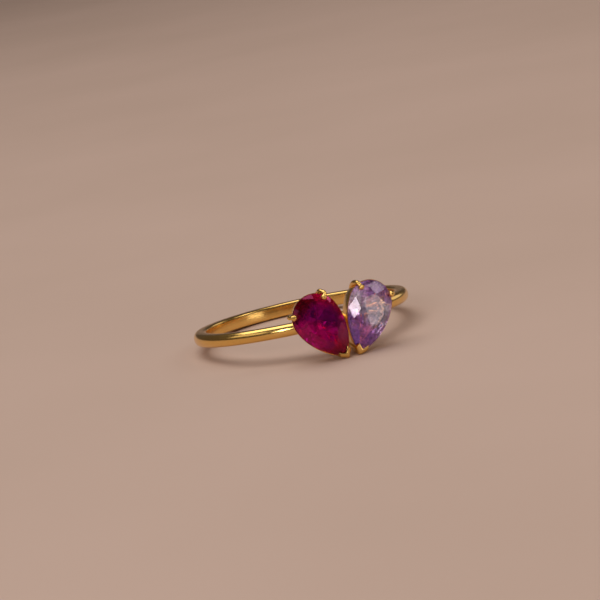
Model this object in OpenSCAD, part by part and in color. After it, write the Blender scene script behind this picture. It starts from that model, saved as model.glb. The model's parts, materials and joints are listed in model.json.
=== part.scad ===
// Toi et moi ring: two pear-cut stones, tips together, in claw heads on one slim band.
// The ring lies on its side on z = 0, resting on the tips of its heads and the back of its band.
// In the ring's own frame, before it is laid down, the finger goes along Z and the stones face -Y.
// In a head's own frame the stone's tip is the origin, Y runs to its round end and Z faces out.

/* [Finger hole] */
// Inside diameter of the band
finger_d = 16.5; // [14:0.1:21]

/* [Band] */
// Thickness of the band at the middle of its domed outside
band_t = 1.15; // [0.9:0.05:1.6]
// Width of the band at the back
band_back_w = 1.2; // [1:0.05:1.8]
// Width of the band under the stones
band_front_w = 1.02; // [0.8:0.02:1.6]
// Height of the dome across the band's outside, at its back
dome_h = 0.4; // [0.2:0.05:0.5]

/* [Stones] */
// Length of each pear, from its tip to its round end
stone_l = 6; // [5.4:0.1:7.5]
// Width of each pear
stone_w = 3.9; // [3.4:0.1:4.6]
// Thickness of the girdle, the stone's thin upright edge
girdle_t = 0.16; // [0.12:0.01:0.24]
// Height of the crown, from the girdle to the table
crown_h = 0.6; // [0.4:0.05:0.8]
// Depth of the pavilion, from the girdle to the culet
pavilion_h = 1.7; // [1.4:0.05:1.8]

/* [Heads] */
// Height of the girdles' middle above the band's outside
head_h = 2.3; // [2.2:0.1:3]
// Turn of each stone's face away from the ring's middle plane, in degrees
face_turn = 7.4; // [4:0.2:12]
// Lean of each pear from the finger's direction, in degrees
pear_lean = 27.2; // [20:0.2:35]
// Gap between the two stones where they come closest
pair_gap = 0.2; // [0.14:0.02:0.4]
// Drop of the stones' tips below the middle of the band
tip_drop = 2.8; // [2.4:0.1:3.2]

/* [Setting] */
// Gap between a stone and its metal seat
seat_gap = 0.04; // [0.03:0.01:0.08]
// Height of the gallery wall around each stone
wall_h = 1.15; // [0.8:0.05:1.2]
// How much the gallery wall leans in for each millimetre down
wall_lean = 0.17; // [0.1:0.01:0.24]
// Thickness of the gallery wall
wall_t = 0.3; // [0.24:0.02:0.4]
// How far the gallery wall's rim stands outside the stone
wall_proud = 0.05; // [0.02:0.01:0.06]
// Diameter of the claws' wire
claw_d = 0.5; // [0.4:0.02:0.6]
// Place of the claws around the round end, in degrees from the pear's widest line
claw_at = 37; // [20:1:50]
// Height of the claw tips above the girdle's middle
claw_rise = 0.42; // [0.36:0.02:0.5]
// How far the claw tips bend in over the stone
claw_in = 0.15; // [0.05:0.05:0.2]
// How far the V-shaped plate at each tip stands outside the stone
vee_proud = 0.13; // [0.1:0.01:0.18]
// Thickness of the V-shaped plate
vee_t = 0.24; // [0.2:0.02:0.34]
// Height of the V-shaped plate above the girdle's middle
vee_rise = 0.52; // [0.4:0.02:0.6]
// How far the V-shaped plate's rim folds in over the stone
vee_fold = 0.15; // [0.08:0.01:0.2]
// Reach of the V-shaped plate's arms along the pear
vee_arm = 0.5; // [0.3:0.05:0.7]
// How far the base ring under each head stands inside the stone's outline
base_inset = 0.85; // [0.7:0.05:1]
// Thickness of the base ring
base_t = 0.35; // [0.25:0.05:0.45]
// Height of the base ring above the band
base_h = 0.3; // [0.2:0.05:0.4]

/* [Hidden] */
$fn = 96;

GOLD = [0.80, 0.58, 0.24];
RUBY = [0.52, 0.02, 0.20];
LILAC = [0.66, 0.56, 0.80];

bore_r = finger_d / 2;
band_r = bore_r + band_t;

// Lengths of arcs that meet are kept to a thousandth, so that their ends match.
function mil(x) = round(x * 1000) / 1000;

// Pear outline: a half circle at the round end, and two long arcs that meet at the tip.
end_r = stone_w / 2;
end_y = stone_l - end_r;
side_r = mil((end_y ^ 2 + end_r ^ 2) / (2 * end_r));
side_x = side_r - end_r;
tip_way = -acos(side_x / side_r);

// Where a head stands: its stone's girdle lies in a plane at girdle_r from the finger's axis.
girdle_r = band_r + head_h;
pear_flank = side_r - side_x * cos(pear_lean) - end_y * sin(pear_lean);
tip_x = (pair_gap / 2 - girdle_r * sin(face_turn)) / cos(face_turn) + pear_flank;

// Heights in a head, from the middle of its stone's girdle.
wall_top = -girdle_t / 2 - seat_gap;
wall_bottom = wall_top - wall_h;
base_sunk = band_t / 3;
base_top = base_h - head_h;
base_bottom = -head_h - base_sunk;
// The V-shaped plate starts to fold in here, and the claws are thickest here.
fold_z = 0.05;
// How far a cutting shape runs past what it cuts.
past = 0.1;

// How far the corner at a pear's tip moves out when its sides move out by a length.
function corner(out) = out * side_r / side_x;

// Resting on its side: the plates' tips at the front and the band's lower edge at the back.
tip_z = -tip_drop - corner(vee_proud) * cos(pear_lean);
tip_reach = (girdle_r + fold_z) * cos(face_turn)
    - (tip_x - corner(vee_proud) * sin(pear_lean)) * sin(face_turn);
back_reach = band_r - dome_h;
rest_tilt = atan2(-tip_z - band_back_w / 2, tip_reach + back_reach);
rest_lift = back_reach * sin(rest_tilt) + band_back_w / 2 * cos(rest_tilt);
// The ring is centred along Y, between its plates' rims and the back of its band.
front_reach = (tip_reach + vee_rise) * cos(rest_tilt) - tip_z * sin(rest_tilt);
rest_shift = (front_reach - band_r * cos(rest_tilt)) / 2;

module at_rest() {
    translate([0, rest_shift, rest_lift])
        rotate([-rest_tilt, 0, 0])
            children();
}

// side is 1 for the head at +X and -1 for the head at -X.
module at_head(side) {
    mirror([side < 0 ? 1 : 0, 0, 0])
        rotate([0, 0, face_turn])
            translate([tip_x, -girdle_r, -tip_drop])
                rotate([0, pear_lean, 0])
                    rotate([90, 0, 0])
                        children();
}

// A pear-shaped block from z0 to z1, whose sides stand out from the stone's outline by out0 and out1.
module pear_block(z0, out0, z1, out1) {
    high = z1 - z0;
    wide = stone_l + stone_w;
    translate([0, 0, z0]) {
        intersection() {
            translate([-side_x, end_y, 0])
                cylinder(h = high, r1 = mil(side_r + out0), r2 = mil(side_r + out1));
            translate([side_x, end_y, 0])
                cylinder(h = high, r1 = mil(side_r + out0), r2 = mil(side_r + out1));
            translate([-wide / 2, end_y - wide, 0])
                cube([wide, wide, high]);
        }
        intersection() {
            translate([0, end_y, 0])
                cylinder(h = high, r1 = mil(end_r + out0), r2 = mil(end_r + out1));
            translate([-wide / 2, end_y, 0])
                cube([wide, wide, high]);
        }
    }
}

// A pear-shaped wall, open at both ends, through sections of [height, outside, inside].
module pear_wall(sections) {
    for (i = [0:len(sections) - 2]) {
        low = sections[i];
        high = sections[i + 1];
        lean = (high[2] - low[2]) / (high[0] - low[0]);
        difference() {
            pear_block(low[0], low[1], high[0], high[1]);
            pear_block(low[0] - past, low[2] - lean * past, high[0] + past, high[2] + lean * past);
        }
    }
}

function wall_out(z) = wall_proud + wall_lean * (z - wall_top);

module gallery_wall() {
    low_out = wall_out(wall_bottom);
    pear_wall([
        [wall_bottom, low_out, low_out - wall_t],
        [wall_top, wall_proud, wall_proud - wall_t]
    ]);
}

module base_ring() {
    pear_wall([
        [base_bottom, -base_inset, -base_inset - base_t],
        [base_top, -base_inset, -base_inset - base_t]
    ]);
}

// The V-shaped plate folds over the stone's tip, and runs on down to the base ring as a leg.
module vee_plate() {
    knee_out = wall_out(wall_bottom) + vee_proud - wall_proud;
    rim_out = vee_proud - vee_fold;
    rim_t = 0.6 * vee_t;
    foot_z = base_bottom + past;
    front = -stone_w;
    intersection() {
        pear_wall([
            [foot_z, -base_inset, -base_inset - vee_t],
            [wall_bottom, knee_out, knee_out - vee_t],
            [fold_z, vee_proud, vee_proud - vee_t],
            [vee_rise, rim_out, rim_out - rim_t]
        ]);
        translate([-end_r, 0, 0])
            rotate([90, 0, 90])
                linear_extrude(stone_w)
                    polygon([
                        [front, vee_rise],
                        [vee_arm, vee_rise],
                        [vee_arm + corner(-knee_out), wall_bottom],
                        [vee_arm + corner(base_inset), foot_z],
                        [front, foot_z]
                    ]);
    }
}

module rod(from, to, d) {
    run = to - from;
    translate(from)
        rotate([0, acos(run.z / norm(run)), atan2(run.y, run.x)])
            cylinder(h = norm(run), d = d);
}

// A claw rises from the base ring beside the wall, and bends in over the crown.
module claw(angle) {
    path = [
        [end_r - base_inset - base_t / 2, base_bottom + claw_d / 2],
        [end_r + wall_out(wall_bottom), wall_bottom],
        [end_r + seat_gap + claw_d / 4, fold_z],
        [end_r - claw_in, claw_rise]
    ];
    knuckle = 1.08 * claw_d;
    places = [for (p = path) [p[0] * cos(angle), end_y + p[0] * sin(angle), p[1]]];
    for (i = [0:2])
        rod(places[i], places[i + 1], claw_d);
    for (i = [1:3])
        translate(places[i])
            sphere(d = knuckle);
}

// The room that a stone takes in its head, with the seat's gap. It draws in a little less steeply
// than the stone's small facets beside the girdle, for each millimetre up the crown or down the pavilion.
module seat_room() {
    half = (girdle_t + seat_gap) / 2;
    crown_in = 0.22 * end_r / crown_h;
    pavilion_in = 0.85 * end_r / pavilion_h;
    deep = 0.75 * pavilion_h;
    pear_block(half, seat_gap, half + crown_h, seat_gap - crown_in * crown_h);
    pear_block(-half, seat_gap, half, seat_gap);
    pear_block(-half - deep, seat_gap - pavilion_in * deep, -half, seat_gap);
}

module head() {
    difference() {
        union() {
            gallery_wall();
            vee_plate();
            claw(claw_at);
            claw(180 - claw_at);
            base_ring();
        }
        seat_room();
    }
}

// Half round outside and flat inside. The band tapers between two slightly leaning planes.
module band() {
    half = band_back_w / 2;
    dome_r = (dome_h ^ 2 + half ^ 2) / (2 * dome_h);
    intersection() {
        rotate_extrude() {
            translate([bore_r, -half])
                square([band_t - dome_h, band_back_w]);
            intersection() {
                translate([band_r - dome_r, 0])
                    circle(dome_r);
                translate([band_r - dome_h, -half])
                    square([dome_h, band_back_w]);
            }
        }
        translate([-band_r - past, 0, 0])
            rotate([90, 0, 90])
                linear_extrude(2 * (band_r + past))
                    polygon([
                        [-band_r, -band_front_w / 2],
                        [band_r, -half],
                        [band_r, half],
                        [-band_r, band_front_w / 2]
                    ]);
    }
}

module gold_mount() {
    color(GOLD)
        at_rest() {
            band();
            for (side = [-1, 1])
                at_head(side)
                    head();
        }
}

// The stones' facets. A place on the girdle is named by the way that the outline faces there.
function way(a) = [cos(a), sin(a)];
function girdle_at(a) =
    a < 0 ? [-side_x, end_y] + side_r * way(a)
    : a <= 180 ? [0, end_y] + end_r * way(a)
    : [side_x, end_y] + side_r * way(a);

// Main facets in turn, from the tip up one side, round the end and down the other side.
MAIN_WAYS = [-32, -8, 36, 90, 144, 188, 212];
mains = len(MAIN_WAYS) + 1;
// Where the girdle is stepped, each main facet starts one stretch of it.
starts = [tip_way, each MAIN_WAYS, 180 - tip_way];
main_way = [-90, each MAIN_WAYS];
main_foot = [for (i = [0:mains - 1]) girdle_at(starts[i])];
// Steps of the girdle under each small facet beside it.
steps = 3;
ring = 2 * steps * mains;

// The table is the girdle's shape drawn in to this share of its size, towards this place.
table_share = 0.56;
table_core = [0, 0.57 * stone_l];
// The culet, the pavilion's point, lies under this place.
culet = [0, 0.62 * stone_l];
// Share of the crown's height, and of the pavilion's depth, that the small facets at the girdle take.
crown_split = 0.5;
pavilion_split = 0.72;
table_at = [for (p = main_foot) table_core + table_share * (p - table_core)];

// Where two upright planes cross, each at a distance along its own way.
function crossing(a, da, b, db) =
    let (turn = a.x * b.y - a.y * b.x)
    [da * b.y - db * a.y, a.x * db - b.x * da] / turn;

// The corner between main facets i and i + 1, at a share of their height. tops holds their inner ends.
function between(i, tops, share) =
    let (
        j = (i + 1) % mains,
        a = way(main_way[i]),
        b = way(main_way[j]),
        pa = main_foot[i] + share * (tops[i] - main_foot[i]),
        pb = main_foot[j] + share * (tops[j] - main_foot[j])
    )
    crossing(a, a * pa, b, b * pb);

// How high a small facet stands at p, when it holds the girdle's points a and b at no height and m at high.
function facet_height(p, a, b, m, high) =
    let (
        across = [(b - a).y, -(b - a).x]
    )
    high * (across * (p - a)) / (across * (m - a));

// Girdle points, k steps after the start of stretch i.
function stretch_way(i, k) = starts[i] + (starts[i + 1] - starts[i]) * k / (2 * steps);
function ring_point(i, k) = girdle_at(stretch_way(i, k));

function ring_heights(corners, high) = [
    for (i = [0:mains - 1])
        for (k = [0:2 * steps - 1])
            let (first = k < steps ? 0 : steps)
            facet_height(ring_point(i, k), ring_point(i, first), ring_point(i, first + steps), corners[i], high)
];

module pear_stone() {
    half = girdle_t / 2;
    crown_corner = [for (i = [0:mains - 1]) between(i, table_at, crown_split)];
    deep_corner = [for (i = [0:mains - 1]) between(i, [for (p = main_foot) culet], pavilion_split)];
    outline = [for (i = [0:mains - 1]) for (k = [0:2 * steps - 1]) ring_point(i, k)];
    rise = ring_heights(crown_corner, crown_split * crown_h);
    fall = ring_heights(deep_corner, pavilion_split * pavilion_h);

    upper = 0;
    lower = ring;
    star = 2 * ring;
    table = star + mains;
    deep = table + mains;
    points = [
        for (j = [0:ring - 1]) [outline[j].x, outline[j].y, half + rise[j]],
        for (j = [0:ring - 1]) [outline[j].x, outline[j].y, -half - fall[j]],
        for (p = crown_corner) [p.x, p.y, half + crown_split * crown_h],
        for (p = table_at) [p.x, p.y, half + crown_h],
        for (p = deep_corner) [p.x, p.y, -half - pavilion_split * pavilion_h],
        [culet.x, culet.y, -half - pavilion_h]
    ];
    tip = len(points) - 1;
    span = 2 * steps;
    before = [for (i = [0:mains - 1]) (i + mains - 1) % mains];
    after = [for (i = [0:mains - 1]) (i + 1) % mains];

    polyhedron(points, [
        [for (i = [mains - 1:-1:0]) table + i],
        for (i = [0:mains - 1]) [table + i, table + after[i], star + i],
        for (i = [0:mains - 1]) [upper + i * span, star + before[i], table + i, star + i],
        for (i = [0:mains - 1]) [star + i, for (k = [steps:-1:0]) upper + i * span + k],
        for (i = [0:mains - 1]) [star + i, for (k = [span:-1:steps]) upper + (i * span + k) % ring],
        for (j = [0:ring - 1]) [upper + j, upper + (j + 1) % ring, lower + (j + 1) % ring, lower + j],
        for (i = [0:mains - 1]) [deep + i, for (k = [0:steps]) lower + i * span + k],
        for (i = [0:mains - 1]) [deep + i, for (k = [steps:span]) lower + (i * span + k) % ring],
        for (i = [0:mains - 1]) [lower + i * span, deep + i, tip, deep + before[i]]
    ]);
}

module ruby_pear() {
    color(RUBY)
        at_rest()
            at_head(-1)
                pear_stone();
}

module lilac_pear() {
    color(LILAC)
        at_rest()
            at_head(1)
                pear_stone();
}

gold_mount();
ruby_pear();
lilac_pear();
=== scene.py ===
import json
import math

import bmesh
import bpy
from mathutils import Matrix, Vector

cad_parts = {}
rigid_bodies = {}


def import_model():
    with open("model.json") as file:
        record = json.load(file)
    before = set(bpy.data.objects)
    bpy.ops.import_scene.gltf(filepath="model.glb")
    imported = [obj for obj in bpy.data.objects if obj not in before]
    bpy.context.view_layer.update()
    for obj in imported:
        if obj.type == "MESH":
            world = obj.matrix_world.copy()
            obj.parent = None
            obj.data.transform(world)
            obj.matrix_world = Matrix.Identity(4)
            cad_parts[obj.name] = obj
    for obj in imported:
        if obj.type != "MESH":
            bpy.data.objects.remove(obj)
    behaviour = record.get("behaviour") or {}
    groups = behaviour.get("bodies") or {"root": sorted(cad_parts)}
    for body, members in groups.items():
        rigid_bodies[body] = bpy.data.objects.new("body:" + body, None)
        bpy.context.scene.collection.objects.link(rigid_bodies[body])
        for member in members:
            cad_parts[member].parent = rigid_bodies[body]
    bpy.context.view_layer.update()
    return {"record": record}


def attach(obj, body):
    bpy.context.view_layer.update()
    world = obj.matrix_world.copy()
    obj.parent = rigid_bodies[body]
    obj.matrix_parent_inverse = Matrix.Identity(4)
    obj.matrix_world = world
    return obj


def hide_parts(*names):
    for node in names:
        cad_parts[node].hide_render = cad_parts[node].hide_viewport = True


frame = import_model()

# The ring's sizes in millimetres and degrees, as in the solids. Only the claws and the plates at the tips
# are finished finer, with sizes of their own.
BAND_T = 1.15
BAND_BACK_W = 1.2
BAND_FRONT_W = 1.02
DOME_H = 0.4
STONE_L = 6.0
STONE_W = 3.9
GIRDLE_T = 0.16
CROWN_H = 0.6
PAVILION_H = 1.7
HEAD_H = 2.3
FACE_TURN = 7.4
PEAR_LEAN = 27.2
PAIR_GAP = 0.2
TIP_DROP = 2.8
SEAT_GAP = 0.04
WALL_H = 1.15
WALL_LEAN = 0.17
WALL_T = 0.3
WALL_PROUD = 0.05
CLAW_D = 0.42
CLAW_RISE = 0.36
VEE_PROUD = 0.19
VEE_T = 0.28
VEE_RISE = 0.42
VEE_ARM = 0.52
BASE_INSET = 0.85
BASE_T = 0.35
BASE_H = 0.3
WALL_ROUNDING = 0.05
PLATE_ROUNDING = 0.03
MM = 0.001

# The finger hole's mount says how the ring lies.
bore = next(m for m in frame["record"]["mounts"] if m["name"] == "finger_bore")
BORE_R = bore["dims"]["r_mm"]
BORE_CENTRE = Vector(bore["pos_m"])
REST_TILT = math.atan2(bore["axis"][1], bore["axis"][2])
AT_REST = Matrix.Translation(BORE_CENTRE) @ Matrix.Rotation(-REST_TILT, 4, "X") @ Matrix.Scale(MM, 4)

# A pear's outline: a half circle at the round end, and two long arcs that meet at the tip.
END_R = STONE_W / 2
END_Y = STONE_L - END_R
SIDE_R = (END_Y**2 + END_R**2) / (2 * END_R)
SIDE_X = SIDE_R - END_R
BAND_R = BORE_R + BAND_T
GIRDLE_R = BAND_R + HEAD_H
LEAN = math.radians(PEAR_LEAN)
TURN = math.radians(FACE_TURN)
PEAR_FLANK = SIDE_R - SIDE_X * math.cos(LEAN) - END_Y * math.sin(LEAN)
TIP_X = (PAIR_GAP / 2 - GIRDLE_R * math.sin(TURN)) / math.cos(TURN) + PEAR_FLANK
WALL_TOP = -GIRDLE_T / 2 - SEAT_GAP
WALL_BOTTOM = WALL_TOP - WALL_H
BASE_BOTTOM = -HEAD_H - BAND_T / 3


def head_matrix(side):
    """From a head's own frame to the ring's place. side is -1 for the ruby and 1 for the lilac stone."""
    stand = (
        Matrix.Rotation(TURN, 4, "Z")
        @ Matrix.Translation((TIP_X, -GIRDLE_R, -TIP_DROP))
        @ Matrix.Rotation(LEAN, 4, "Y")
        @ Matrix.Rotation(math.radians(90), 4, "X")
    )
    return AT_REST @ Matrix.Diagonal((side, 1, 1, 1)) @ stand


def new_object(name, mesh, material):
    piece = bpy.data.objects.new(name, mesh)
    bpy.context.scene.collection.objects.link(piece)
    mesh.materials.clear()
    mesh.materials.append(material)
    return piece


def mesh_from(name, points, faces, place):
    """A closed mesh with its faces turned outwards."""
    bm = bmesh.new()
    verts = [bm.verts.new(place @ Vector(p)) for p in points]
    for face in faces:
        bm.faces.new([verts[i] for i in face])
    bmesh.ops.recalc_face_normals(bm, faces=bm.faces)
    mesh = bpy.data.meshes.new(name)
    bm.to_mesh(mesh)
    bm.free()
    return mesh


def smooth_by_angle(mesh, degrees):
    mesh.polygons.foreach_set("use_smooth", [True] * len(mesh.polygons))
    mesh.set_sharp_from_angle(angle=math.radians(degrees))


def soften(piece, width, degrees=35):
    """Rounds a piece's edges by a small bevel. width is in millimetres."""
    bevel = piece.modifiers.new("worn edges", "BEVEL")
    bevel.width = width * MM
    bevel.segments = 3
    bevel.limit_method = "ANGLE"
    bevel.angle_limit = math.radians(degrees)
    bevel.harden_normals = False
    bake_modifiers(piece)


def bake_modifiers(piece):
    """Puts the modifiers' result in the mesh and takes them off."""
    seen = piece.evaluated_get(bpy.context.evaluated_depsgraph_get())
    mesh = bpy.data.meshes.new_from_object(seen)
    piece.modifiers.clear()
    piece.data = mesh


def ridden(piece):
    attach(piece, "root")
    return piece


# Materials

def shader(name):
    material = bpy.data.materials.new(name)
    material.use_nodes = True
    nodes, links = material.node_tree.nodes, material.node_tree.links
    bsdf = nodes["Principled BSDF"]
    coords = nodes.new("ShaderNodeTexCoord")
    return material, nodes, links, bsdf, coords


def noise(nodes, links, coords, scale, detail=3.0, stretch=(1, 1, 1)):
    """Noise on the object's own coordinates. scale is in waves to the millimetre."""
    mapping = nodes.new("ShaderNodeMapping")
    mapping.inputs["Scale"].default_value = [scale / MM * s for s in stretch]
    links.new(coords.outputs["Object"], mapping.inputs["Vector"])
    texture = nodes.new("ShaderNodeTexNoise")
    texture.inputs["Scale"].default_value = 1.0
    texture.inputs["Detail"].default_value = detail
    links.new(mapping.outputs["Vector"], texture.inputs["Vector"])
    return texture


def ramp(nodes, links, source, stops):
    mixer = nodes.new("ShaderNodeValToRGB")
    while len(mixer.color_ramp.elements) < len(stops):
        mixer.color_ramp.elements.new(0.5)
    for element, (at, colour) in zip(mixer.color_ramp.elements, stops):
        element.position = at
        element.color = (*colour, 1)
    links.new(source, mixer.inputs["Fac"])
    return mixer


GOLD_TONES = [(0.3, (0.84, 0.52, 0.14)), (0.7, (0.92, 0.61, 0.20))]
GOLD_SHINE = (0.12, 0.26)
TONE_WAVES = 0.35
RUB_WAVES = 2.2
GRAIN_WAVES = 9.0
GRAIN_DEPTH = 0.02
GRAIN_SHARE = 0.12


def polished_gold():
    """Gold with slow changes of tone, small rubbed patches and a very fine grain."""
    material, nodes, links, bsdf, coords = shader("polished gold")
    tone = noise(nodes, links, coords, TONE_WAVES)
    colour = ramp(nodes, links, tone.outputs["Fac"], GOLD_TONES)
    links.new(colour.outputs["Color"], bsdf.inputs["Base Color"])
    bsdf.inputs["Metallic"].default_value = 1.0
    rub = noise(nodes, links, coords, RUB_WAVES, detail=5.0, stretch=(1, 1, 0.4))
    shine = nodes.new("ShaderNodeMapRange")
    shine.inputs["To Min"].default_value, shine.inputs["To Max"].default_value = GOLD_SHINE
    links.new(rub.outputs["Fac"], shine.inputs["Value"])
    links.new(shine.outputs["Result"], bsdf.inputs["Roughness"])
    fine = noise(nodes, links, coords, GRAIN_WAVES, detail=4.0)
    bump = nodes.new("ShaderNodeBump")
    bump.inputs["Strength"].default_value = GRAIN_SHARE
    bump.inputs["Distance"].default_value = GRAIN_DEPTH * MM
    links.new(fine.outputs["Fac"], bump.inputs["Height"])
    links.new(bump.outputs["Normal"], bsdf.inputs["Normal"])
    return material


# How far the painted light and shade gather into the cells, where a zone reaches its full colour, how dull
# the pavilion's faces are, and how far below the girdle they are so.
CELL_PULL = 0.6
ZONE_EDGE = 0.5
PAVILION_DULL = 0.08
DULL_DEPTH = 0.5


def cut_stone(name, side, body, painted_light_zones, grain, sparkle, absorbed, density, ior, clear, sheen):
    """A cut stone's inside and faces.

    Over the body's own colour lie soft patches of painted light and shade, each (out from the middle, up from
    the tip, radius, colour): painted shade where the stone is dark, and painted flashes, highlights and
    reflections where it is bright. grain is how many small cells break them up in a millimetre, and sparkle
    how dark and how bright the cells go, as painted glints. absorbed deepens the colour with the stone's
    thickness, clear is the share of it that light passes through, and sheen tints what its faces reflect.
    """
    material, nodes, links, bsdf, coords = shader(name)
    # The painted light and shade break up in small flat cells, as facets seen through each other do, and each
    # cell is a painted glint, darker or brighter.
    cells = nodes.new("ShaderNodeTexVoronoi")
    cells.inputs["Scale"].default_value = grain / MM
    links.new(coords.outputs["Object"], cells.inputs["Vector"])
    whole = nodes.new("ShaderNodeMix")
    whole.data_type = "VECTOR"
    whole.inputs["Factor"].default_value = CELL_PULL
    links.new(coords.outputs["Object"], whole.inputs["A"])
    links.new(cells.outputs["Position"], whole.inputs["B"])
    colour = None
    # Each patch of painted light or shade is laid over the colour beneath it, fading out at its radius.
    for out, along, radius, painted_light_tone in painted_light_zones:
        place = nodes.new("ShaderNodeMapping")
        place.vector_type = "TEXTURE"
        place.inputs["Location"].default_value = head_matrix(side) @ Vector((out, along, CROWN_H / 2))
        place.inputs["Scale"].default_value = [radius * MM] * 3
        links.new(whole.outputs[1], place.inputs["Vector"])
        ball = nodes.new("ShaderNodeTexGradient")
        ball.gradient_type = "SPHERICAL"
        links.new(place.outputs["Vector"], ball.inputs["Vector"])
        reach = nodes.new("ShaderNodeMapRange")
        reach.interpolation_type = "SMOOTHSTEP"
        reach.inputs["From Max"].default_value = ZONE_EDGE
        links.new(ball.outputs["Fac"], reach.inputs["Value"])
        over = nodes.new("ShaderNodeMixRGB")
        over.inputs["Color1"].default_value = (*body, 1)
        over.inputs["Color2"].default_value = (*painted_light_tone, 1)
        links.new(reach.outputs["Result"], over.inputs["Fac"])
        if colour:
            links.new(colour, over.inputs["Color1"])
        colour = over.outputs["Color"]
    # Painted glints: each cell darkens or brightens the painted colour, past full brightness at the top.
    value = nodes.new("ShaderNodeMapRange")
    value.inputs["To Min"].default_value, value.inputs["To Max"].default_value = sparkle
    links.new(cells.outputs["Color"], value.inputs["Value"])
    bright = nodes.new("ShaderNodeHueSaturation")
    links.new(value.outputs["Result"], bright.inputs["Value"])
    links.new(colour, bright.inputs["Color"])
    links.new(bright.outputs["Color"], bsdf.inputs["Base Color"])
    bsdf.inputs["Transmission Weight"].default_value = clear
    bsdf.inputs["Specular Tint"].default_value = (*sheen, 1)
    bsdf.inputs["IOR"].default_value = ior
    # The faces below the girdle are a little duller than the crown's.
    head = head_matrix(side)
    up = head.col[2].xyz.normalized()
    girdle = head.to_translation().dot(up)
    height = nodes.new("ShaderNodeVectorMath")
    height.operation = "DOT_PRODUCT"
    height.inputs[1].default_value = up
    links.new(coords.outputs["Object"], height.inputs[0])
    polish = nodes.new("ShaderNodeMapRange")
    polish.inputs["From Min"].default_value = girdle - DULL_DEPTH * MM
    polish.inputs["From Max"].default_value = girdle
    polish.inputs["To Min"].default_value = PAVILION_DULL
    polish.inputs["To Max"].default_value = 0.0
    links.new(height.outputs["Value"], polish.inputs["Value"])
    links.new(polish.outputs["Result"], bsdf.inputs["Roughness"])
    inside = nodes.new("ShaderNodeVolumeAbsorption")
    inside.inputs["Color"].default_value = (*absorbed, 1)
    inside.inputs["Density"].default_value = density
    links.new(inside.outputs["Volume"], nodes["Material Output"].inputs["Volume"])
    return material


FLOOR_TONES = [(0.3, (0.60, 0.43, 0.35)), (0.7, (0.64, 0.46, 0.38))]
FLOOR_WAVES = 0.02


def pale_floor():
    material, nodes, links, bsdf, coords = shader("pale floor")
    tone = noise(nodes, links, coords, FLOOR_WAVES)
    colour = ramp(nodes, links, tone.outputs["Fac"], FLOOR_TONES)
    links.new(colour.outputs["Color"], bsdf.inputs["Base Color"])
    bsdf.inputs["Roughness"].default_value = 0.7
    return material


GOLD = polished_gold()
RUBY = cut_stone(
    "ruby red stone",
    side=-1,
    body=(0.72, 0.002, 0.05),
    # Painted light and shade over the ruby's own red: painted shade near the round end on the outer side and
    # at the tip, a painted reflection low on the inner side, a dark purple painted shade under the table, and
    # painted flashes of light below the middle and along the outer flank.
    painted_light_zones=[
        (0.7, 5.0, 2.0, (0.10, 0.0, 0.004)),
        (0.0, 0.3, 1.4, (0.34, 0.001, 0.02)),
        (-0.95, 2.0, 1.2, (0.62, 0.06, 0.22)),
        (0.0, 3.5, 2.1, (0.22, 0.001, 0.24)),
        (0.45, 2.3, 1.2, (0.60, 0.002, 0.34)),
        (1.5, 3.2, 1.8, (1.0, 0.006, 0.30)),
    ],
    grain=3.2,
    sparkle=(0.52, 1.56),
    absorbed=(0.88, 0.02, 0.62),
    density=240.0,
    ior=1.76,
    clear=0.8,
    sheen=(1.0, 0.16, 0.50),
)
LILAC = cut_stone(
    "lilac stone",
    side=1,
    body=(0.80, 0.44, 1.0),
    # Painted light and shade over the lilac's own colour: a deeper violet painted shade low on the inner
    # side, a near-white painted highlight on the inner flank, and a pale painted reflection in the table
    # towards the outer side.
    painted_light_zones=[
        (-0.8, 1.7, 2.2, (0.50, 0.17, 0.84)),
        (-1.4, 3.7, 1.2, (0.96, 0.90, 1.0)),
        (0.35, 3.5, 1.75, (0.66, 0.80, 1.0)),
    ],
    grain=5.0,
    sparkle=(0.2, 1.9),
    absorbed=(0.76, 0.54, 0.95),
    density=70.0,
    ior=1.64,
    clear=0.86,
    sheen=(1.0, 0.88, 1.0),
)


# The band, by geometry nodes

class Tree:
    """A geometry node tree with named inputs."""

    def __init__(self, name, sizes):
        self.group = bpy.data.node_groups.new(name, "GeometryNodeTree")
        face = self.group.interface
        self.ids = {}
        face.new_socket("Geometry", in_out="INPUT", socket_type="NodeSocketGeometry")
        for label, (kind, value) in sizes.items():
            socket = face.new_socket(label, in_out="INPUT", socket_type=kind)
            if value is not None:
                socket.default_value = value
            self.ids[label] = socket.identifier
        face.new_socket("Geometry", in_out="OUTPUT", socket_type="NodeSocketGeometry")
        self.given = self.group.nodes.new("NodeGroupInput")
        self.result = self.group.nodes.new("NodeGroupOutput")

    def node(self, kind, **settings):
        made = self.group.nodes.new(kind)
        for key, value in settings.items():
            setattr(made, key, value)
        return made

    def link(self, source, target):
        self.group.links.new(source, target)

    def math(self, operation, *values):
        made = self.node("ShaderNodeMath", operation=operation)
        for socket, value in zip(made.inputs, values):
            if isinstance(value, (int, float)):
                socket.default_value = value
            else:
                self.link(value, socket)
        return made.outputs[0]

    def end(self, geometry):
        """Every tree ends in Realize Instances and Set Material."""
        real = self.node("GeometryNodeRealizeInstances")
        self.link(geometry, real.inputs["Geometry"])
        shade = self.node("GeometryNodeSetShadeSmooth")
        shade.inputs["Shade Smooth"].default_value = True
        self.link(real.outputs["Geometry"], shade.inputs["Geometry"])
        paint = self.node("GeometryNodeSetMaterial")
        self.link(shade.outputs["Geometry"], paint.inputs["Geometry"])
        self.link(self.given.outputs["Material"], paint.inputs["Material"])
        self.link(paint.outputs["Geometry"], self.result.inputs["Geometry"])

    def apply(self, piece, **values):
        modifier = piece.modifiers.new(self.group.name, "NODES")
        modifier.node_group = self.group
        for label, value in values.items():
            modifier[self.ids[label.replace("_", " ")]] = value
        bake_modifiers(piece)


# The smaller, the squarer the band's inner corners.
CORNER_POWER = 0.3


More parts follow.
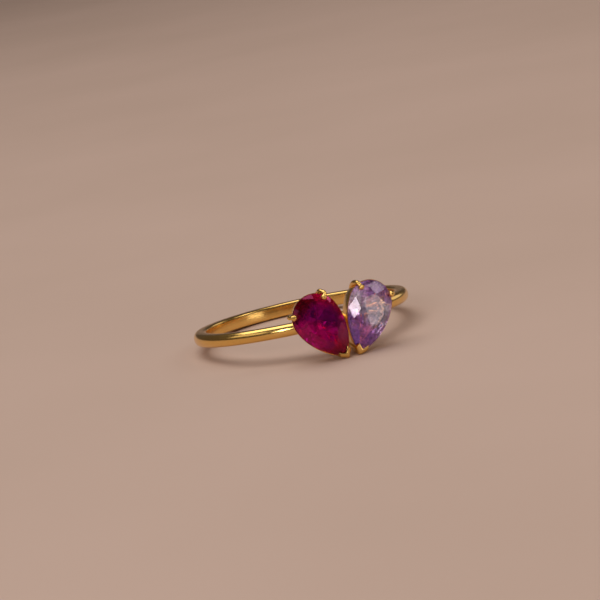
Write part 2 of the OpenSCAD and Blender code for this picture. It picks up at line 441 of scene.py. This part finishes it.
def band_tree():
    """A half-round band round Z: a grid whose X runs round the finger and whose Y runs round the section."""
    size = "NodeSocketFloat"
    tree = Tree(
        "half round band",
        {
            "Bore radius": (size, BORE_R),
            "Thickness": (size, BAND_T),
            "Dome height": (size, DOME_H),
            "Back width": (size, BAND_BACK_W),
            "Front width": (size, BAND_FRONT_W),
            "Corner": (size, CORNER_POWER),
            "Steps round": ("NodeSocketInt", 288),
            "Steps across": ("NodeSocketInt", 48),
            "Material": ("NodeSocketMaterial", None),
        },
    )
    given, do = tree.given.outputs, tree.math
    grid = tree.node("GeometryNodeMeshGrid")
    grid.inputs["Size X"].default_value = math.tau
    grid.inputs["Size Y"].default_value = math.tau
    tree.link(given["Steps round"], grid.inputs["Vertices X"])
    tree.link(given["Steps across"], grid.inputs["Vertices Y"])
    spot = tree.node("ShaderNodeSeparateXYZ")
    tree.link(tree.node("GeometryNodeInputPosition").outputs[0], spot.inputs[0])
    way, turn = spot.outputs["X"], spot.outputs["Y"]
    out, across = do("COSINE", turn), do("SINE", turn)
    flank = do("SUBTRACT", given["Thickness"], given["Dome height"])
    # Outside, half an ellipse. Inside, nearly square, with rounded corners.
    domed = do("ADD", flank, do("MULTIPLY", given["Dome height"], out))
    flat_out = do("POWER", do("ABSOLUTE", out), given["Corner"])
    flat = do("SUBTRACT", flank, do("MULTIPLY", flank, flat_out))
    squared = do("POWER", do("ABSOLUTE", across), given["Corner"])
    flat_across = do("MULTIPLY", do("SIGN", across), squared)
    outside = do("GREATER_THAN", out, 0.0)
    inside = do("SUBTRACT", 1.0, outside)
    high = do("ADD", do("MULTIPLY", outside, domed), do("MULTIPLY", inside, flat))
    wide = do("ADD", do("MULTIPLY", outside, across), do("MULTIPLY", inside, flat_across))
    radius = do("ADD", given["Bore radius"], high)
    x = do("MULTIPLY", radius, do("COSINE", way))
    y = do("MULTIPLY", radius, do("SINE", way))
    # The width grows evenly from the front of the ring, at -Y, to the back.
    share = do("ADD", 0.5, do("MULTIPLY", 0.5, do("SINE", way)))
    gain = do("MULTIPLY", share, do("SUBTRACT", given["Back width"], given["Front width"]))
    half = do("MULTIPLY", 0.5, do("ADD", given["Front width"], gain))
    place = tree.node("ShaderNodeCombineXYZ")
    for value, socket in zip((x, y, do("MULTIPLY", wide, half)), place.inputs):
        tree.link(value, socket)
    bend = tree.node("GeometryNodeSetPosition")
    tree.link(grid.outputs["Mesh"], bend.inputs["Geometry"])
    tree.link(place.outputs[0], bend.inputs["Position"])
    weld = tree.node("GeometryNodeMergeByDistance")
    weld.inputs["Distance"].default_value = 0.001
    tree.link(bend.outputs["Geometry"], weld.inputs["Geometry"])
    tree.end(weld.outputs["Geometry"])
    return tree


def outward(mesh):
    """Turns a closed mesh's faces outwards."""
    bm = bmesh.new()
    bm.from_mesh(mesh)
    bmesh.ops.remove_doubles(bm, verts=bm.verts, dist=0.0005 * MM)
    bmesh.ops.recalc_face_normals(bm, faces=bm.faces)
    bm.to_mesh(mesh)
    bm.free()


def make_band():
    piece = new_object("band", bpy.data.meshes.new("band"), GOLD)
    band_tree().apply(
        piece,
        Bore_radius=BORE_R,
        Thickness=BAND_T,
        Dome_height=DOME_H,
        Back_width=BAND_BACK_W,
        Front_width=BAND_FRONT_W,
        Material=GOLD,
    )
    piece.data.transform(AT_REST)
    outward(piece.data)
    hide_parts("gold_mount")
    return ridden(piece)


# The claws, by geometry nodes: each wire is swept along its path, at the radius kept in each point

def wire_tree():
    tree = Tree(
        "claw wire",
        {
            "Sides": ("NodeSocketInt", 32),
            "Material": ("NodeSocketMaterial", None),
        },
    )
    path = tree.node("GeometryNodeMeshToCurve")
    tree.link(tree.given.outputs["Geometry"], path.inputs["Mesh"])
    radius = tree.node("GeometryNodeInputNamedAttribute", data_type="FLOAT")
    radius.inputs["Name"].default_value = "wire_radius"
    section = tree.node("GeometryNodeCurvePrimitiveCircle")
    section.inputs["Radius"].default_value = 1.0
    tree.link(tree.given.outputs["Sides"], section.inputs["Resolution"])
    sweep = tree.node("GeometryNodeCurveToMesh")
    sweep.inputs["Fill Caps"].default_value = True
    tree.link(path.outputs["Curve"], sweep.inputs["Curve"])
    tree.link(section.outputs["Curve"], sweep.inputs["Profile Curve"])
    tree.link(radius.outputs["Attribute"], sweep.inputs["Scale"])
    tree.end(sweep.outputs["Mesh"])
    return tree


def rounded_path(corners, steps):
    """A smooth path through corners, each a vector whose last number is the wire's radius there."""
    ends = [corners[0] * 2 - corners[1], *corners, corners[-1] * 2 - corners[-2]]
    path = []
    for i in range(1, len(ends) - 2):
        before, start, stop, after = ends[i - 1 : i + 3]
        for k in range(steps):
            t = k / steps
            path.append(
                0.5
                * (
                    2 * start
                    + (stop - before) * t
                    + (2 * before - 5 * start + 4 * stop - after) * t**2
                    + (3 * start - before - 3 * stop + after) * t**3
                )
            )
    path.append(corners[-1])
    return path


def wall_out(z):
    return WALL_PROUD + WALL_LEAN * (z - WALL_TOP)


# The ball's radius in wire radii, and how far off the stone the wire's middle stands, in wire diameters.
CLAW_BALL = 1.32
CLAW_STAND = 0.35
CLAW_STEPS = 10
BALL_STEPS = 8


def claw_path(angle, twist, inward):
    """The claw stands beside the wall, bends in above the girdle and ends in a ball at the crown's edge."""
    r = CLAW_D / 2
    knee = END_R + SEAT_GAP + CLAW_STAND * CLAW_D
    ball = CLAW_BALL * r
    corners = [
        (END_R - BASE_INSET - BASE_T / 2, BASE_BOTTOM + r, 0.9 * r),
        (END_R + wall_out(WALL_BOTTOM), WALL_BOTTOM, 0.95 * r),
        (knee - 0.02, -0.5, r),
        (knee, 0.05, 0.95 * r),
        (knee - 0.03, 0.6 * CLAW_RISE, 0.85 * r),
        (END_R + 0.14 - inward, 0.95 * CLAW_RISE, 0.8 * r),
        (END_R - inward, CLAW_RISE, ball),
    ]
    path = rounded_path([Vector(c) for c in corners], CLAW_STEPS)
    # The ball's far half closes the wire.
    last, way = path[-1], (path[-1] - path[-2]).xy.normalized()
    start, bead = last.xy.copy(), last.z
    for k in range(1, BALL_STEPS + 1):
        a = math.pi / 2 * k / BALL_STEPS
        spot = start + way * bead * math.sin(a)
        path.append(Vector((spot.x, spot.y, max(bead * math.cos(a), 0.001))))
    placed = []
    for p in path:
        a = math.radians(angle + twist * min(max((p.y + 0.3) / 0.6, 0), 1))
        placed.append((p.x * math.cos(a), END_Y + p.x * math.sin(a), p.y, p.z))
    return placed


def make_claw(name, side, bend, tree):
    place = head_matrix(side)
    path = claw_path(*bend)
    mesh = bpy.data.meshes.new(name)
    mesh.from_pydata([place @ Vector(p[:3]) for p in path], [(i, i + 1) for i in range(len(path) - 1)], [])
    radius = mesh.attributes.new("wire_radius", "FLOAT", "POINT")
    radius.data.foreach_set("value", [p[3] * MM for p in path])
    piece = new_object(name, mesh, GOLD)
    tree.apply(piece, Material=GOLD)
    outward(piece.data)
    return ridden(piece)


# Walls, base rings and the plates at the tips

def pear_ring(out, z, side_steps=40, end_steps=56):
    """Points round a pear outline that stands out by a length, from the tip up its right side."""
    tip = -math.acos(SIDE_X / (SIDE_R + out))
    points = []
    for k in range(side_steps):
        a = tip * (1 - k / side_steps)
        points.append((-SIDE_X + (SIDE_R + out) * math.cos(a), END_Y + (SIDE_R + out) * math.sin(a), z))
    for k in range(end_steps):
        a = math.pi * k / end_steps
        points.append(((END_R + out) * math.cos(a), END_Y + (END_R + out) * math.sin(a), z))
    for k in range(side_steps):
        a = tip * k / side_steps
        points.append((SIDE_X - (SIDE_R + out) * math.cos(a), END_Y + (SIDE_R + out) * math.sin(a), z))
    return points


def make_wall(name, side, section):
    """A closed wall round the pear. section is its outline, as (out, height)."""
    rings = [pear_ring(out, z) for out, z in section]
    count, rows = len(rings[0]), len(rings)
    faces = []
    for j in range(rows):
        low, high = j * count, (j + 1) % rows * count
        for i in range(count):
            beside = (i + 1) % count
            faces.append((low + i, low + beside, high + beside, high + i))
    mesh = mesh_from(name, [p for ring in rings for p in ring], faces, head_matrix(side))
    piece = new_object(name, mesh, GOLD)
    soften(piece, WALL_ROUNDING)
    smooth_by_angle(piece.data, 40)
    return ridden(piece)


def gallery_section():
    low = wall_out(WALL_BOTTOM)
    return [
        (low, WALL_BOTTOM),
        (WALL_PROUD, WALL_TOP),
        (WALL_PROUD, WALL_TOP + 0.1),
        (SEAT_GAP, WALL_TOP + 0.1),
        (SEAT_GAP - 0.03, WALL_TOP - 0.05),
        (WALL_PROUD - WALL_T, WALL_TOP - 0.3),
        (low - WALL_T, WALL_BOTTOM),
    ]


def base_section():
    top = BASE_H - HEAD_H
    return [
        (-BASE_INSET, BASE_BOTTOM),
        (-BASE_INSET, top),
        (-BASE_INSET - BASE_T, top),
        (-BASE_INSET - BASE_T, BASE_BOTTOM),
    ]


def plate_row(out, z, arm, blunt=0, steps=16):
    """A row of points round the tip, from one arm's end to the other's. blunt passes round its corner off."""
    r = SIDE_R + out
    tip = -math.acos(SIDE_X / r)
    end = math.asin(math.sin(tip) + arm / r)
    right = []
    for k in range(steps + 1):
        a = tip + (end - tip) * k / steps
        right.append(Vector((-SIDE_X + r * math.cos(a), END_Y + r * math.sin(a), z)))
    row = [Vector((-p.x, p.y, p.z)) for p in right[:0:-1]] + right
    for _ in range(blunt):
        row[1:-1] = [(row[k - 1] + 2 * row[k] + row[k + 1]) / 4 for k in range(1, len(row) - 1)]
    return row


def make_plate(name, side):
    """The plate curls over the tip. Below, it narrows inwards to the base ring as a leg."""
    knee = wall_out(WALL_BOTTOM) + VEE_PROUD - WALL_PROUD
    foot_z = BASE_BOTTOM + 0.1
    # Each row: how far out, its height, its arms' length, and how many times its corner is rounded off.
    rows = [
        (-BASE_INSET, foot_z, VEE_ARM, 4),
        (knee, WALL_BOTTOM, VEE_ARM, 6),
        (VEE_PROUD - 0.04, -0.4, VEE_ARM, 8),
        (VEE_PROUD - 0.01, -0.1, VEE_ARM, 8),
        (VEE_PROUD, 0.02, VEE_ARM, 8),
        (VEE_PROUD - 0.02, VEE_RISE - 0.27, VEE_ARM - 0.01, 8),
        (VEE_PROUD - 0.08, VEE_RISE - 0.15, VEE_ARM - 0.04, 8),
        (VEE_PROUD - 0.18, VEE_RISE - 0.06, VEE_ARM - 0.08, 7),
        (VEE_PROUD - 0.28, VEE_RISE - 0.01, VEE_ARM - 0.11, 6),
        (VEE_PROUD - 0.36, VEE_RISE - 0.005, VEE_ARM - 0.14, 4),
        (VEE_PROUD - 0.4, VEE_RISE - 0.03, VEE_ARM - 0.13, 2),
        (VEE_PROUD - 0.41, VEE_RISE - 0.08, VEE_ARM - 0.1, 1),
        (SEAT_GAP - 0.14, 0.27, VEE_ARM - 0.04),
        (SEAT_GAP, GIRDLE_T / 2 + 0.03, VEE_ARM),
        (SEAT_GAP, -GIRDLE_T / 2 - 0.02, VEE_ARM),
        (knee - 1.2 * VEE_T, WALL_BOTTOM, VEE_ARM),
        (-BASE_INSET - VEE_T, foot_z, VEE_ARM),
    ]
    lines = [plate_row(*row) for row in rows]
    count, deep = len(lines[0]), len(lines)
    faces = []
    for j in range(deep):
        low, high = j * count, (j + 1) % deep * count
        faces += [(low + i, low + i + 1, high + i + 1, high + i) for i in range(count - 1)]
    faces.append([j * count for j in range(deep)])
    faces.append([j * count + count - 1 for j in range(deep)])
    mesh = mesh_from(name, [p for line in lines for p in line], faces, head_matrix(side))
    piece = new_object(name, mesh, GOLD)
    soften(piece, PLATE_ROUNDING, degrees=42)
    smooth_by_angle(piece.data, 50)
    return ridden(piece)


# The stones

# The ways that the main facets face, in degrees, beside the one at the tip. The shares say where the table's
# edge, the crown's and the pavilion's facets meet.
MAIN_WAYS = [-32, -8, 36, 90, 144, 188, 212]
TABLE_CORE = Vector((0, 0.57 * STONE_L))
TABLE_SHARE = 0.56
CULET = Vector((0, 0.62 * STONE_L))
CROWN_SPLIT = 0.5
PAVILION_SPLIT = 0.72
STEPS = 3


def way(degrees):
    return Vector((math.cos(math.radians(degrees)), math.sin(math.radians(degrees))))


def girdle_at(degrees):
    if degrees < 0:
        return Vector((-SIDE_X, END_Y)) + SIDE_R * way(degrees)
    if degrees <= 180:
        return Vector((0, END_Y)) + END_R * way(degrees)
    return Vector((SIDE_X, END_Y)) + SIDE_R * way(degrees)


def crossing(a, reach_a, b, reach_b):
    """Where two upright planes cross, each at a distance along its own way."""
    turn = a.x * b.y - a.y * b.x
    return Vector((reach_a * b.y - reach_b * a.y, a.x * reach_b - b.x * reach_a)) / turn


def facet_height(p, a, b, m, high):
    """The height at p of the facet that holds a and b at no height, and m at high."""
    across = Vector(((b - a).y, -(b - a).x))
    return high * across.dot(p - a) / across.dot(m - a)


def make_stone(name, node, side, material):
    mains = len(MAIN_WAYS) + 1
    tip_way = -math.degrees(math.acos(SIDE_X / SIDE_R))
    starts = [tip_way, *MAIN_WAYS, 180 - tip_way]
    ways = [way(a) for a in (-90, *MAIN_WAYS)]
    feet = [girdle_at(a) for a in starts[:-1]]
    tables = [TABLE_CORE + TABLE_SHARE * (p - TABLE_CORE) for p in feet]

    def between(i, tops, share):
        j = (i + 1) % mains
        pa = feet[i].lerp(tops[i], share)
        pb = feet[j].lerp(tops[j], share)
        return crossing(ways[i], ways[i].dot(pa), ways[j], ways[j].dot(pb))

    crown = [between(i, tables, CROWN_SPLIT) for i in range(mains)]
    deep = [between(i, [CULET] * mains, PAVILION_SPLIT) for i in range(mains)]
    span = 2 * STEPS
    ring = span * mains
    outline, rise, fall = [], [], []
    for i in range(mains):
        step = (starts[i + 1] - starts[i]) / span
        stretch = [girdle_at(starts[i] + step * k) for k in range(span + 1)]
        for k in range(span):
            first = 0 if k < STEPS else STEPS
            pair = stretch[first], stretch[first + STEPS]
            outline.append(stretch[k])
            rise.append(facet_height(stretch[k], *pair, crown[i], CROWN_SPLIT * CROWN_H))
            fall.append(facet_height(stretch[k], *pair, deep[i], PAVILION_SPLIT * PAVILION_H))
    half = GIRDLE_T / 2
    points = [(p.x, p.y, half + h) for p, h in zip(outline, rise)]
    points += [(p.x, p.y, -half - h) for p, h in zip(outline, fall)]
    points += [(p.x, p.y, half + CROWN_SPLIT * CROWN_H) for p in crown]
    points += [(p.x, p.y, half + CROWN_H) for p in tables]
    points += [(p.x, p.y, -half - PAVILION_SPLIT * PAVILION_H) for p in deep]
    points += [(CULET.x, CULET.y, -half - PAVILION_H)]
    star = 2 * ring
    table = star + mains
    low = table + mains
    tip = low + mains
    faces = [[table + i for i in range(mains)]]
    for i in range(mains):
        j, h = (i + 1) % mains, (i - 1) % mains
        faces.append([table + i, table + j, star + i])
        faces.append([i * span, star + h, table + i, star + i])
        faces.append([star + i, *[i * span + k for k in range(STEPS, -1, -1)]])
        faces.append([star + i, *[(i * span + k) % ring for k in range(span, STEPS - 1, -1)]])
        faces.append([low + i, *[ring + i * span + k for k in range(STEPS + 1)]])
        faces.append([low + i, *[ring + (i * span + k) % ring for k in range(STEPS, span + 1)]])
        faces.append([ring + i * span, low + i, tip, low + h])
    faces += [[j, (j + 1) % ring, ring + (j + 1) % ring, ring + j] for j in range(ring)]
    mesh = mesh_from(name, points, faces, head_matrix(side))
    piece = new_object(name, mesh, material)
    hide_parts(node)
    return ridden(piece)


def make_head(name, side, claws):
    make_wall(name + "_gallery_wall", side, gallery_section())
    make_wall(name + "_base_ring", side, base_section())
    make_plate(name + "_tip_plate", side)
    for where, bend in claws.items():
        make_claw(f"{name}_{where}_claw", side, bend, WIRES)


make_band()
WIRES = wire_tree()
# Each claw's bend is given: its place round the end, in degrees from the outer side, how far it twists round
# in its upper part, and its reach over the stone.
make_head("ruby", -1, {"outer": (40, 0, 0.03), "inner": (139, 9, 0.16)})
make_head("lilac", 1, {"outer": (38, 0, 0.0), "inner": (140, 0, 0.22)})
make_stone("ruby_stone", "ruby_pear", -1, RUBY)
make_stone("lilac_stone", "lilac_pear", 1, LILAC)


# Floor, light and camera

FLOOR_HALF = 1500 * MM


def make_floor():
    corners = [(-1, -1), (1, -1), (1, 1), (-1, 1)]
    mesh = bpy.data.meshes.new("floor")
    mesh.from_pydata([(x * FLOOR_HALF, y * FLOOR_HALF, 0) for x, y in corners], [], [(0, 1, 2, 3)])
    floor = new_object("floor", mesh, pale_floor())
    return floor


def keep_off(light, floor):
    """Keeps a light off the floor, as a flag before it would."""
    shaded = bpy.data.collections.new("shaded from " + light.name)
    shaded.objects.link(floor)
    light.light_linking.receiver_collection = shaded
    shaded.collection_objects[0].light_linking.link_state = "EXCLUDE"


def round_the_ring(azimuth, elevation, far):
    """A place at this distance. Azimuth 0 is in front of the stones and 90 is at the lilac stone's side."""
    a, e = math.radians(azimuth), math.radians(elevation)
    return Vector((math.sin(a) * math.cos(e), -math.cos(a) * math.cos(e), math.sin(e))) * far


def make_light(name, place, size, watts, colour):
    """A soft light that looks at the ring. place and size are in millimetres."""
    lamp = bpy.data.lights.new(name, "AREA")
    lamp.shape = "RECTANGLE"
    lamp.size, lamp.size_y = [s * MM for s in size]
    lamp.energy = watts
    lamp.color = colour
    light = bpy.data.objects.new(name, lamp)
    light.location = Vector(place) * MM
    light.rotation_euler = (-light.location).to_track_quat("-Z", "Y").to_euler()
    light.visible_camera = False
    bpy.context.scene.collection.objects.link(light)
    return light


def make_world():
    world = bpy.data.worlds.new("studio")
    bpy.context.scene.world = world
    world.use_nodes = True
    back = world.node_tree.nodes["Background"]
    back.inputs["Color"].default_value = (0.62, 0.50, 0.43, 1)
    back.inputs["Strength"].default_value = 0.13


# The camera's place in the ring's own frame, before it is laid down, fitted to the photograph.
CAMERA_WAY = 17.5
CAMERA_RISE = 5.97
CAMERA_ROLL = -12.53
CAMERA_FAR = 200.0
PIXELS_PER_MM = 11.64
RING_PIXEL = (301.0, 315.8)
PICTURE = 600


def make_camera():
    """The camera looks at the ring from its fitted place, and is then laid down with the ring."""
    a, e, roll = (math.radians(v) for v in (CAMERA_WAY, CAMERA_RISE, CAMERA_ROLL))
    back = Vector((-math.sin(a) * math.cos(e), -math.cos(a) * math.cos(e), math.sin(e)))
    right = (-back).cross(Vector((0, 0, 1))).normalized()
    up = right.cross(-back)
    right, up = right * math.cos(roll) + up * math.sin(roll), up * math.cos(roll) - right * math.sin(roll)
    middle = PICTURE / 2
    target = (right * (middle - RING_PIXEL[0]) + up * (RING_PIXEL[1] - middle)) / PIXELS_PER_MM
    place = back * CAMERA_FAR
    back = (place - target).normalized()
    right = (right - back * right.dot(back)).normalized()
    up = back.cross(right)
    turn = Matrix.Rotation(-REST_TILT, 3, "X")
    right, up, back = turn @ right, turn @ up, turn @ back
    lens = bpy.data.cameras.new("camera")
    lens.sensor_width = 36
    lens.lens = PIXELS_PER_MM * CAMERA_FAR / PICTURE * lens.sensor_width
    lens.clip_start, lens.clip_end = 0.01, 10
    camera = bpy.data.objects.new("camera", lens)
    spot = AT_REST @ place
    rows = [(right[i], up[i], back[i], spot[i]) for i in range(3)]
    camera.matrix_world = Matrix([*rows, (0, 0, 0, 1)])
    bpy.context.scene.collection.objects.link(camera)
    bpy.context.scene.camera = camera


floor = make_floor()
make_world()
make_light("sky light", (-110, 130, 640), (660, 660), 2.75, (1, 0.97, 0.93))
make_light("window light", round_the_ring(-40.5, 21, 450), (86, 130), 0.34, (1, 0.98, 0.97))
make_light("side light", round_the_ring(66, 38, 500), (170, 170), 0.24, (1, 0.94, 0.88))
make_light("left card", round_the_ring(-86, 30, 520), (380, 190), 0.17, (1, 0.93, 0.86))
low_card = make_light("low card", round_the_ring(41.7, 5.1, 110), (40, 20), 0.0058, (1, 0.94, 0.9))
keep_off(low_card, floor)
make_light("right card", round_the_ring(112, 18, 520), (240, 200), 0.12, (1, 0.93, 0.86))
make_light("top light", round_the_ring(5, 58, 600), (320, 300), 0.3, (1, 0.96, 0.92))
make_camera()

bpy.context.scene.view_settings.view_transform = "Standard"
# Light turns back many times inside a cut stone.
bpy.context.scene.cycles.max_bounces = 20
bpy.context.scene.cycles.glossy_bounces = 16
bpy.context.scene.cycles.transmission_bounces = 20
bpy.context.view_layer.update()
